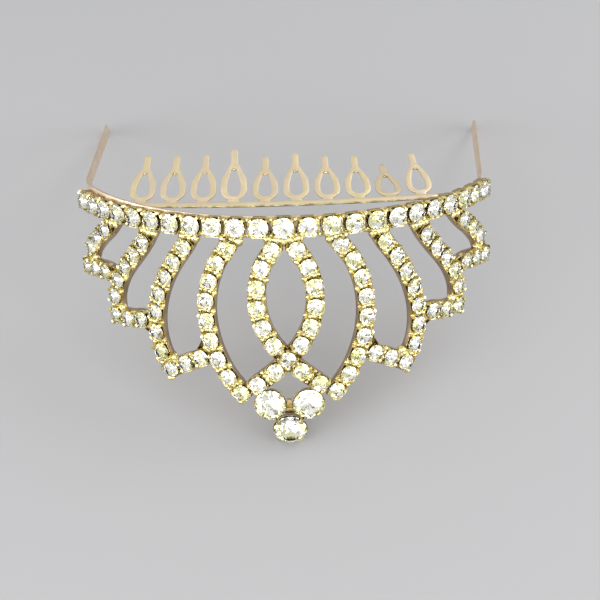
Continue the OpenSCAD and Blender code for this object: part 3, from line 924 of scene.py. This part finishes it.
def solder_places():
    """Places of the solder: where strands leave the row, at the corners, where strands meet, and round the
    crossing."""
    strands, links = chains()
    found = []
    foot_level, fall, reach = 2.45, 0.12, 1.4
    for places in strands:
        for out in (-reach, 0, reach):
            level = (foot_level - fall * out) * MM
            found.append((foot_arc(places, level) + out * MM, level, places[0][2]))
    for strand, link, (target, stone) in zip(strands[2:], links[1:], LINK_ENDS):
        last, met = link[-1], strands[target][stone]
        found += [beside(strand[-1], link[0]), ((last[0] + met[0]) / 2, (last[1] + met[1]) / 2, last[2])]
    # the inner corners: from a corner's stone, a share of the sum of the steps to its two neighbours
    corners = (strands[2][-2:] + links[1][:1], strands[3][-2:] + links[2][:1], strands[4][-1:] + links[3][:2])
    for before, corner, after in corners:
        for share in (0.36, 0.48):
            found.append((corner[0] + share * (before[0] + after[0] - 2 * corner[0]),
                          corner[1] + share * (before[1] + after[1] - 2 * corner[1]), corner[2]))
    arc, height = beside(strands[1][-1], links[0][-1])[:2]
    below, heading = 0.4 * MM, 0.5
    found.append((arc, height - below, heading))
    crossing = crossing_place()
    found += [beside(*links[0]), beside(strands[0][-1], crossing), beside(crossing, links[0][0])]
    return both_sides(found)


def chain_places(*sideways):
    """Places in the gaps between neighbouring stones of a strand or link, so many millimetres to the side."""
    strands, links = chains()
    return both_sides([beside(a, b, across * MM) for places in strands + links
                       for a, b in zip(places, places[1:]) for across in sideways])


def row_gap_places():
    """Places above and below the gaps between neighbouring stones in the middle of the row."""
    places, middle, off = row_places(), 23 * MM, 1.5 * MM
    return [beside(a, b, across) for a, b in zip(places, places[1:]) if abs(a[0] + b[0]) < 2 * middle
            for across in (-off, off)]


# Right half of the web between the two large cups and the peak cup: arcs and heights from the top down, in mm
WEB = ((0.45, 34.5), (0.5, 35.2), (0.8, 35.8), (1.4, 36.3), (2.1, 36.8), (2.5, 37.2), (1.2, 37.3))
# Its rings, from the middle of its front to its back: share of the outline, and mm in front of the girdles
WEB_RINGS = ((0.2, -1.0), (0.6, -0.94), (0.9, -0.92), (1.0, -1.04), (1.0, -1.6), (0.9, -1.7))


def web_rings():
    """Rings of the web, a flat gold plate with rounded edges that sags a little in its middle."""
    middle = sum(height for arc, height in WEB) / len(WEB)
    return [[on_sheet(arc * share * MM, (middle + (height - middle) * share) * MM, front * MM)
             for arc, height in both_halves(list(WEB))] for share, front in WEB_RINGS]


class TIARA_OT_solder(bpy.types.Operator):
    """Drop the lumps of solder where strands, links and cups are joined, and the web above the peak cup"""
    bl_idname = "tiara.solder"
    bl_label = "Solder"

    def execute(self, context):
        pose = rest_pose()
        #    name            places                      radius  depth  tilt  spread  seed
        groups = (
            ("solder_beads", solder_places(),            1.25,   0.75,  0.3,  0.35,   11),
            ("strand_rungs", chain_places(-1.35, 1.35),  0.70,   0.46,  0.5,  0.35,   12),
            ("gap_solder",   chain_places(-0.5, 0.45),   0.88,   0.62,  0.6,  0.30,   17),
            ("row_rungs",    row_gap_places(),           0.66,   0.50,  0.5,  0.40,   15),
        )
        for name, spots, radius, depth, tilt, spread, seed in groups:
            places = [pose @ place(*p) @ Matrix.Translation((0, 0, -depth * MM)) for p in spots]
            lumps = set_on_places(name, bead_pattern(radius * MM), places, "solder", "solder", turn=pi,
                                  tilt=tilt, spread=spread, seed=seed)
            keep(lumps, "gold", "frame")
        # The web takes the darker hollow finish: painted shade in its recess between the cups
        keep(posed("peak_web", swept(web_rings()), radians(50), "hollow painted shade gold"), "gold", "frame")
        return {"FINISHED"}


# Circles that bound the loop of a tooth and its hole: radius and distance from the comb strip, in mm
LOOP = ((2.5, 3.9), (2.4, 5.3), (0.75, 8.9))
HOLE = ((1.3, 3.6), (1.28, 4.9), (0.6, 7.5))


def tangent_turn(a, b):
    """Turn at which the common tangent of two circles of the tooth touches them."""
    return asin((a[0] - b[0]) / (b[1] - a[1]))


def outline_half(circles, last_turn):
    """Right half of the outline round a row of circles and their common tangents, from the bottom up."""
    step = radians(9)
    turns = [-pi / 2] + [tangent_turn(a, b) for a, b in zip(circles, circles[1:])] + [last_turn]
    points = []
    for (radius, distance), low, high in zip(circles, turns, turns[1:]):
        steps = max(1, ceil((high - low) / step))
        for k in range(steps + 1):
            a = low + (high - low) * k / steps
            points.append((radius * cos(a), distance + radius * sin(a)))
    return points


def both_halves(half):
    """A closed outline from its right half."""
    return half + [(-x, y) for x, y in reversed(half) if x > 0.001]


def tooth_pattern(comb):
    """One stamped tooth: a pierced loop that narrows into a finger, with rounded edges, along +y. The faces
    at the top of its hole are marked as backs, for the bright burr."""
    finger, rounding, thinner = 0.65, 0.07, 0.05
    root, root_bottom, root_top, free = 0.95, 0.55, 1.45, 3
    neck, finger_start = (0.66, 9.5), (finger, 9.9)
    burr_low, burr_high, burr_half, downwards = 6.4 * MM, 8.2 * MM, 0.7 * MM, -0.3
    tip = comb.tooth_length / MM - finger
    loop = [p for p in outline_half(LOOP, tangent_turn(*LOOP[1:]))
            if p[1] > root_top and p[0] > root or p[1] > free]
    outside = [(0.0, root_bottom), (root, root_bottom), (root, root_top)] + loop
    outside += [neck, finger_start, (finger, tip)]
    outside += [(finger * cos(radians(a)), tip + finger * sin(radians(a))) for a in range(15, 91, 15)]
    curve = bpy.data.curves.new("tooth", "CURVE")
    curve.dimensions = "2D"
    curve.fill_mode = "BOTH"
    for half in (outside, outline_half(HOLE, pi / 2)):
        outline = both_halves(half)
        spline = curve.splines.new("POLY")
        spline.points.add(len(outline) - 1)
        spline.points.foreach_set("co", [c for x, y in outline for c in (x * MM, y * MM, 0, 1)])
        spline.use_cyclic_u = True
    curve.extrude = comb.sheet / 2 - thinner * MM - rounding * MM
    curve.bevel_depth = rounding * MM
    curve.bevel_resolution = 1
    curve.offset = -rounding * MM
    drawn = new_object("tooth_outline", curve)
    mesh = evaluated_mesh("tooth", drawn)
    bpy.data.objects.remove(drawn)
    finish_mesh(mesh, radians(50))
    return mark_backs(mesh, lambda face: (burr_low < face.center.y < burr_high and face.normal.y < downwards
                                          and abs(face.center.x) < burr_half))


def on_comb(arc):
    """Matrix that turns what is drawn with +y along the teeth down and back, at an arc of the comb."""
    comb = bpy.context.scene.tiara_comb
    return (Matrix.Translation((-comb.comb_shift, -comb.comb_back - comb.comb_radius, -comb.comb_drop))
            @ Matrix.Rotation(-arc / comb.comb_radius, 4, "Z") @ Matrix.Translation((0, comb.comb_radius, 0))
            @ Matrix.Rotation(pi * 1.5 - comb.comb_angle, 4, "X"))


def comb_end(radius, side):
    """Angle where an arc of the comb strip reaches the inside of the head strip."""
    band, _, comb = settings()[:3]
    inside = band.row_radius - band.strip_front - band.strip_sheet - comb.end_gap
    x, y = -comb.comb_shift, band.row_radius - comb.comb_back - comb.comb_radius
    k = (inside ** 2 - x ** 2 - y ** 2 - radius ** 2) / (2 * radius)
    turn = acos(k / sqrt(x ** 2 + y ** 2))
    found = atan2(x, y) + (2 * pi - turn if side > 0 else turn)
    return (found + pi) % (2 * pi) - pi


def comb_sweep(section, steps, sway=lambda share: Vector((0, 0, 0))):
    """Points and faces of a bar along the comb's arc, cut off at the inside of the head strip."""
    comb = bpy.context.scene.tiara_comb
    level, slope = cos(comb.comb_angle), sin(comb.comb_angle)
    arcs = [(comb.comb_radius - along * slope + through * level,
             -comb.comb_drop - along * level - through * slope) for along, through in section]
    spans = [(comb_end(radius, -1), comb_end(radius, 1)) for radius, height in arcs]
    rings = []
    for i in range(steps + 1):
        share, ring = i / steps, []
        for (radius, height), (first, last) in zip(arcs, spans):
            a = first + (last - first) * share
            ring.append(Vector((radius * sin(a) - comb.comb_shift,
                                radius * cos(a) - comb.comb_back - comb.comb_radius, height)) + sway(share))
        rings.append(ring)
    return swept(rings)


class TIARA_OT_comb(bpy.types.Operator):
    """Make the stamped comb: pierced teeth, the strip that carries them and its bright front edge"""
    bl_idname = "tiara.comb"
    bl_label = "Comb"

    def execute(self, context):
        comb, pose = context.scene.tiara_comb, rest_pose()
        bend_share, rounding = 0.75, 0.1 * MM
        pivot = comb.strip_width * bend_share
        places = []
        for i, bend in enumerate(TOOTH_BENDS):
            arc = (i - (len(TOOTH_BENDS) - 1) / 2) * comb.tooth_pitch
            places.append(pose @ on_comb(arc) @ Matrix.Translation((0, pivot, 0))
                          @ Matrix.Rotation(-radians(bend), 4, "X") @ Matrix.Translation((0, -pivot, 0)))
        teeth = set_on_places("comb_teeth", tooth_pattern(comb), places, "comb plating", "comb edge gold",
                              seed=13)
        keep(teeth, "pale_gold", "comb")
        hole_top, burr_radius = Matrix.Translation((0, 7.95 * MM, 0.1 * MM)), 0.4 * MM
        burrs = set_on_places("hole_burrs", bead_pattern(burr_radius), [m @ hole_top for m in places],
                              "comb edge gold", "comb edge gold", turn=0.3, tilt=0.2, spread=0.25, seed=16)
        keep(burrs, "gold", "comb")

        section = [(y + comb.strip_width / 2, z)
                   for y, z in rounded_section(comb.strip_width, comb.sheet, rounding, 1)]
        strip = posed("comb_strip", comb_sweep(section, 60), radians(50), "comb plating", "hollow painted shade gold")
        # The strip's front side takes the darker hollow finish: a painted shade line under the bright edge
        front_side = 3
        for face in strip.data.polygons:
            face.material_index = int(face.index % len(section) == front_side)
        keep(strip, "pale_gold", "comb")

        wide, thick, inwards = 0.17 * MM, 0.15 * MM, 0.02 * MM
        bead = [(wide * cos(pi / 3 * k) - inwards, thick * sin(pi / 3 * k) + comb.sheet / 2)
                for k in range(6)]

        def sway(share):
            """The uneven run of the bright edge, at a share of its length."""
            return Vector((0, MM * (0.07 * sin(share * 131) + 0.08 * sin(share * 47 + 2)),
                           0.07 * MM * sin(share * 83 + 1)))

        keep(posed("comb_edge", comb_sweep(bead, 220, sway), pi, "comb edge gold"), "gold", "comb")
        return {"FINISHED"}


# Stage

# Soft boxes: power in watts, width, height and place in metres
#    name            power  width  height  x      y      z
LIGHTS = (
    ("window",       1.7,   0.80,  0.50,  -0.22, -0.60,  0.50),
    ("overhead",     0.8,   0.40,  0.30,   0.45,  0.20,  0.50),
    ("left_spark",   0.60,  0.26,  0.16,  -0.42, -0.30,  0.22),
    ("right_spark",  0.60,  0.26,  0.16,   0.42, -0.32,  0.28),
    ("left_low",     1.35,  0.50,  0.14,  -0.60, -0.12,  0.08),
    ("right_low",    1.40,  0.50,  0.14,   0.60, -0.12,  0.08),
    ("low_front",    0.50,  0.50,  0.12,   0.02, -0.58,  0.10),
)


def soft_box(name, power, width, height, spot, target):
    """Area light at a spot, aimed at a target."""
    light = bpy.data.lights.new(name, "AREA")
    light.shape = "RECTANGLE"
    light.size, light.size_y, light.energy = width, height, power
    lamp = new_object(name, light)
    lamp.location = spot
    lamp.rotation_euler = (Vector(target) - Vector(spot)).to_track_quat("-Z", "Y").to_euler()


class TIARA_OT_studio(bpy.types.Operator):
    """Lay the plain floor and set the camera, the soft lights and the pale surround"""
    bl_idname = "tiara.studio"
    bl_label = "Floor, camera and light"

    def execute(self, context):
        scene, studio = context.scene, context.scene.tiara_studio
        camera = new_object("camera", bpy.data.cameras.new("camera"))
        camera.location, camera.rotation_euler = studio.camera_place, studio.camera_turn
        camera.data.lens, camera.data.sensor_width = studio.lens, 36
        camera.data.clip_start = 0.01
        scene.camera = camera
        scene.view_settings.view_transform = "Standard"

        half = 1.5    # of the floor's width, in metres
        corners = [(-half, -half, 0), (half, -half, 0), (half, half, 0), (-half, half, 0)]
        floor = new_object("floor", mesh_of("floor", corners, [[0, 1, 2, 3]]))
        material, tree, shader = new_finish("pale floor")
        smear_limits = (0.3, 0.7)
        matt = between(tree, grain(tree, 40, 4), smear_limits, 0.6, 0.75)
        set_inputs(tree, shader, {"Base Color": opaque("floor"), "Roughness": matt})
        floor.data.materials.append(material)

        aim = (0, -0.01, 0.02)
        for name, power, width, height, *spot in LIGHTS:
            soft_box(name, power * studio.light, width, height, spot, aim)

        scene.world = bpy.data.worlds.new("pale surround")
        scene.world.use_nodes = True
        tree = scene.world.node_tree
        around = outputs_of(tree, "ShaderNodeTexCoord")["Generated"]
        shades = tree.nodes.new("ShaderNodeValToRGB")
        set_inputs(tree, shades, {"Fac": outputs_of(tree, "ShaderNodeSeparateXYZ", {"Vector": around})["Z"]})
        dark, bright = shades.color_ramp.elements
        dark.color, bright.color = (0.30, 0.30, 0.32, 1), (1, 1, 1, 1)
        bright.position = 0.4
        set_inputs(tree, tree.nodes["Background"], {"Color": shades.outputs["Color"], "Strength": studio.sky})
        return {"FINISHED"}


class TIARA_PT_panel(bpy.types.Panel):
    """Lists the tiara's settings and its operators"""
    bl_label = "Tiara"
    bl_idname = "TIARA_PT_panel"
    bl_space_type = "VIEW_3D"
    bl_region_type = "UI"
    bl_category = "Tiara"

    def draw(self, context):
        for operator in OPERATORS:
            self.layout.operator(operator.bl_idname)
        for name, group in SETTINGS.items():
            box = self.layout.box()
            for prop in group.__annotations__:
                box.prop(getattr(context.scene, name), prop)


OPERATORS = (TIARA_OT_studio, TIARA_OT_head_strip, TIARA_OT_ribbons, TIARA_OT_cups, TIARA_OT_solder,
             TIARA_OT_stones, TIARA_OT_comb)


def register():
    for group in SETTINGS.values():
        bpy.utils.register_class(group)
    for name, group in SETTINGS.items():
        setattr(bpy.types.Scene, name, bpy.props.PointerProperty(type=group))
    for operator in OPERATORS:
        bpy.utils.register_class(operator)
    bpy.utils.register_class(TIARA_PT_panel)


def unregister():
    bpy.utils.unregister_class(TIARA_PT_panel)
    for operator in reversed(OPERATORS):
        bpy.utils.unregister_class(operator)
    for name, group in SETTINGS.items():
        delattr(bpy.types.Scene, name)
        bpy.utils.unregister_class(group)


def main():
    register()
    for operator in OPERATORS:
        group, name = operator.bl_idname.split(".")
        getattr(getattr(bpy.ops, group), name)()


if __name__ == "__main__":
    main()
